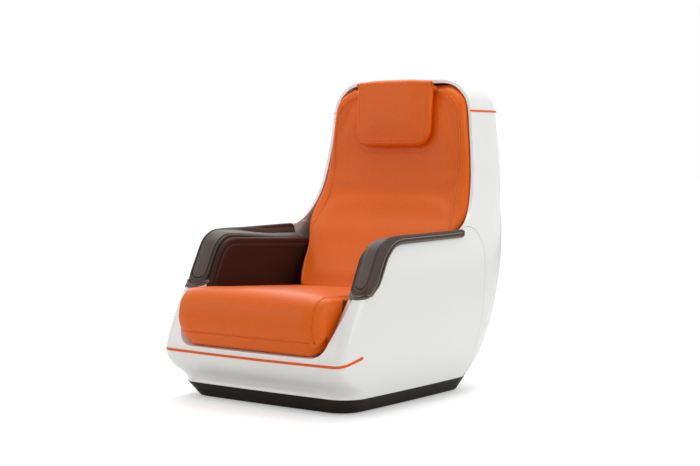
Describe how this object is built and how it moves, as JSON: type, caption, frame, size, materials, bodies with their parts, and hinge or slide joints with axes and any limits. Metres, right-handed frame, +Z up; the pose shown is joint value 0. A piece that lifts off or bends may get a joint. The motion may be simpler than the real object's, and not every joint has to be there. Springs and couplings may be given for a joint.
{
  "type": "massage armchair",
  "caption": "Compact massage armchair with a moulded egg-shaped white body on a tapered plinth, orange leather seat, back and head pillow, and brown leather arms.",
  "frame": {"origin": "on the floor, under the middle of the chair's overall width and depth", "axes": "+X to the sitter's left, which is the viewer's right from the front; +Y to the back of the chair, which faces -Y; +Z up"},
  "size_m": [0.7403, 1.0832, 1.02],
  "materials": {
    "white_gloss": "glossy white moulded plastic",
    "orange_trim": "glossy orange plastic strip",
    "orange_leather": "satin orange upholstery leather",
    "brown_leather": "satin dark taupe-brown leather",
    "taupe_leather": "satin taupe leather",
    "dark_brown_leather": "satin very dark brown leather",
    "plinth_plastic": "satin dark brown plastic",
    "black_plastic": "fine matt black plastic",
    "rocker_plastic": "glossy black plastic",
    "foot_rubber": "matt black rubber",
    "frame_paint": "black powder coat",
    "steel": "ground steel",
    "motor_steel": "plated steel can",
    "belt_rubber": "matt black rubber",
    "roller_rubber": "soft grey-brown polyurethane",
    "board_wood": "raw plywood",
    "cell_rubber": "coated air cell fabric"
  },
  "bodies": {
    "chair": {"left_side_shell": "white_gloss", "right_side_shell": "white_gloss", "front_panel": "white_gloss", "back_shell": "white_gloss", "top_cap": "white_gloss", "front_trim": "orange_trim", "left_trim": "orange_trim", "right_trim": "orange_trim", "top_trim": "orange_trim", "seat_cushion": "orange_leather", "back_cushion": "orange_leather", "pillow_flap": "orange_leather", "left_arm_cap": "brown_leather", "right_arm_cap": "brown_leather", "left_arm_inlay": "taupe_leather", "right_arm_inlay": "taupe_leather", "left_arm_lining": "dark_brown_leather", "right_arm_lining": "dark_brown_leather", "plinth": "plinth_plastic", "power_panel": "black_plastic", "power_inlet": "black_plastic", "switch_bezel": "black_plastic", "control_box": "black_plastic", "power_supply": "black_plastic", "air_pump": "black_plastic", "levelling_feet": "foot_rubber", "base_frame": "frame_paint", "left_seat_posts": "frame_paint", "right_seat_posts": "frame_paint", "left_rail": "frame_paint", "right_rail": "frame_paint", "lower_crossbar": "frame_paint", "upper_crossbar": "frame_paint", "screw_motor": "motor_steel", "vibration_motor": "motor_steel", "seat_board": "board_wood", "left_arm_frame": "board_wood", "right_arm_frame": "board_wood", "left_seat_air_cell": "cell_rubber", "right_seat_air_cell": "cell_rubber"},
    "carriage": {"carriage": "frame_paint", "kneading_motor": "motor_steel", "drive_belt": "belt_rubber"},
    "kneading_shaft": {"kneading_shaft": "steel"},
    "motor_pulley": {"motor_pulley": "steel"},
    "left_roller_arm": {"left_roller_arm": "black_plastic"},
    "right_roller_arm": {"right_roller_arm": "black_plastic"},
    "left_lower_roller": {"left_lower_roller": "roller_rubber"},
    "left_upper_roller": {"left_upper_roller": "roller_rubber"},
    "right_lower_roller": {"right_lower_roller": "roller_rubber"},
    "right_upper_roller": {"right_upper_roller": "roller_rubber"},
    "lifting_screw": {"lifting_screw": "steel"},
    "head_pillow": {"head_pillow": "orange_leather"},
    "power_rocker": {"power_rocker": "rocker_plastic"}
  },
  "joints": [
    {"name": "pillow_turn", "type": "hinge", "parent": "chair", "child": "head_pillow", "pos_m": [0, 0.286, 1.0035], "axis": [-1, 0, 0], "range_deg": [0, 85]},
    {"name": "carriage_slide", "type": "slide", "parent": "chair", "child": "carriage", "axis": [0, 0.165, 0.9863], "range_m": [-0.17, 0.17]},
    {"name": "screw_spin", "type": "hinge", "parent": "chair", "child": "lifting_screw", "pos_m": [0, 0.43587, 0.58117], "axis": [0, 0.165, 0.9863], "continuous": true},
    {"name": "shaft_spin", "type": "hinge", "parent": "carriage", "child": "kneading_shaft", "pos_m": [0, 0.39346, 0.58827], "axis": [1, 0, 0], "continuous": true},
    {"name": "pulley_spin", "type": "hinge", "parent": "carriage", "child": "motor_pulley", "pos_m": [0, 0.43254, 0.51886], "axis": [1, 0, 0], "continuous": true},
    {"name": "left_arm_rock", "type": "hinge", "parent": "carriage", "child": "left_roller_arm", "pos_m": [-0.062, 0.39346, 0.58827], "axis": [1, 0, 0], "range_deg": [-8, 8]},
    {"name": "left_lower_roller_spin", "type": "hinge", "parent": "left_roller_arm", "child": "left_lower_roller", "pos_m": [-0.0815, 0.33687, 0.53487], "axis": [1, 0, 0], "continuous": true},
    {"name": "left_upper_roller_spin", "type": "hinge", "parent": "left_roller_arm", "child": "left_upper_roller", "pos_m": [-0.0815, 0.35734, 0.65717], "axis": [1, 0, 0], "continuous": true},
    {"name": "right_arm_rock", "type": "hinge", "parent": "carriage", "child": "right_roller_arm", "pos_m": [0.062, 0.39346, 0.58827], "axis": [1, 0, 0], "range_deg": [-8, 8]},
    {"name": "right_lower_roller_spin", "type": "hinge", "parent": "right_roller_arm", "child": "right_lower_roller", "pos_m": [0.0815, 0.33687, 0.53487], "axis": [1, 0, 0], "continuous": true},
    {"name": "right_upper_roller_spin", "type": "hinge", "parent": "right_roller_arm", "child": "right_upper_roller", "pos_m": [0.0815, 0.35734, 0.65717], "axis": [1, 0, 0], "continuous": true},
    {"name": "rocker_tilt", "type": "hinge", "parent": "chair", "child": "power_rocker", "pos_m": [-0.008, 0.3235, 0.121], "axis": [1, 0, 0], "range_deg": [-9, 9]}
  ],
  "couplings": [
    {"joint": "screw_spin", "follows": "carriage_slide", "rad_per_m": 314.16},
    {"joint": "pulley_spin", "follows": "shaft_spin", "ratio": 2.7}
  ]
}
